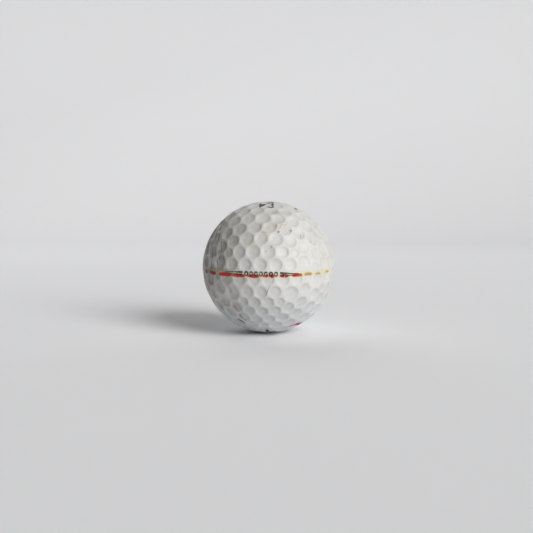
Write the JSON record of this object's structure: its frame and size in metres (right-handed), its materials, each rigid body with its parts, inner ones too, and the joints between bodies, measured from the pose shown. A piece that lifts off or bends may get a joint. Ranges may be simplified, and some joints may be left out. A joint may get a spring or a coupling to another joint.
{
  "type": "golf ball",
  "caption": "Dimpled ball of layers: a solid rubber centre, rubber half cups, a stiff mantle in two halves and a thin dimpled cover in two halves.",
  "frame": {"origin": "centre of the ball, on the parting plane of the two cover halves", "axes": "+Z through the pole of the upper cover half, square to the parting plane; -Y towards the printed side stamp, +X to its right"},
  "size_m": [0.0428, 0.0428, 0.0428],
  "materials": {
    "centre_rubber": "matt moulded rubber",
    "cup_rubber": "matt moulded rubber",
    "mantle_ionomer": "satin moulded ionomer",
    "cover_urethane": "worn clear-coated white urethane"
  },
  "bodies": {
    "root": {"inner_core": "centre_rubber", "outer_core_upper": "cup_rubber", "outer_core_lower": "cup_rubber", "mantle_upper": "mantle_ionomer", "mantle_lower": "mantle_ionomer", "cover_upper": "cover_urethane", "cover_lower": "cover_urethane"}
  },
  "joints": []
}
